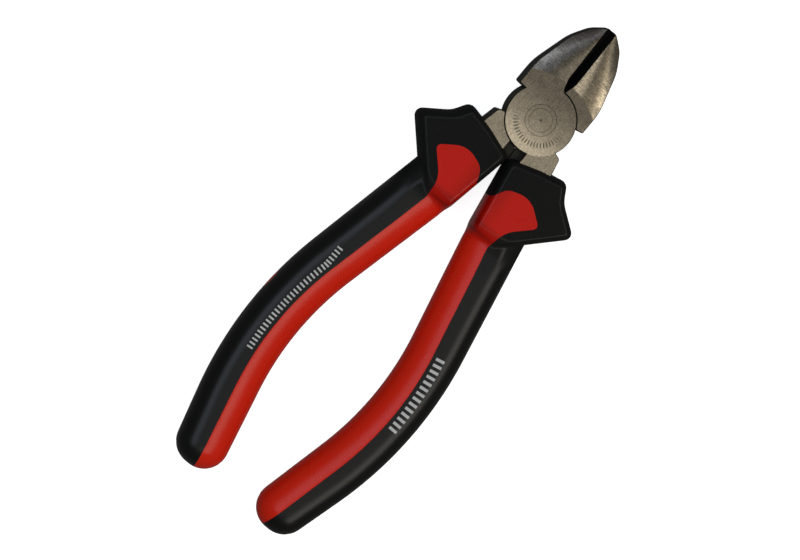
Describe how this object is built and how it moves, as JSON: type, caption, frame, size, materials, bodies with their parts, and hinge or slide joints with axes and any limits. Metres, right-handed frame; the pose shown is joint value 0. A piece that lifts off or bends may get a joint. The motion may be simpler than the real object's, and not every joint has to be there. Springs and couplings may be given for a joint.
{
  "type": "diagonal cutting pliers",
  "caption": "Diagonal cutting pliers with a lap joint, bevelled cutting jaws, and two-colour grips with finger guards.",
  "frame": {"origin": "on the pivot axis at the rear face of the head", "axes": "+Y from the pivot to the jaw tips, +X to the right seen from the front, +Z out of the front face of the head"},
  "size_m": [0.0562, 0.1599, 0.0154],
  "materials": {
    "lever_steel": "ground faces, black oxide sides",
    "rivet_steel": "ground flush",
    "grip_red": "satin moulded",
    "grip_black": "matt fine texture"
  },
  "bodies": {
    "front_half": {"front_lever": "lever_steel", "pivot_rivet": "rivet_steel", "right_grip_core": "grip_red", "right_grip_cover": "grip_black"},
    "rear_half": {"rear_lever": "lever_steel", "left_grip_core": "grip_red", "left_grip_cover": "grip_black"}
  },
  "joints": [
    {"name": "pivot", "type": "hinge", "parent": "front_half", "child": "rear_half", "pos_m": [0, 0, 0.005], "axis": [0, 0, -1], "range_deg": [0, 45]}
  ]
}
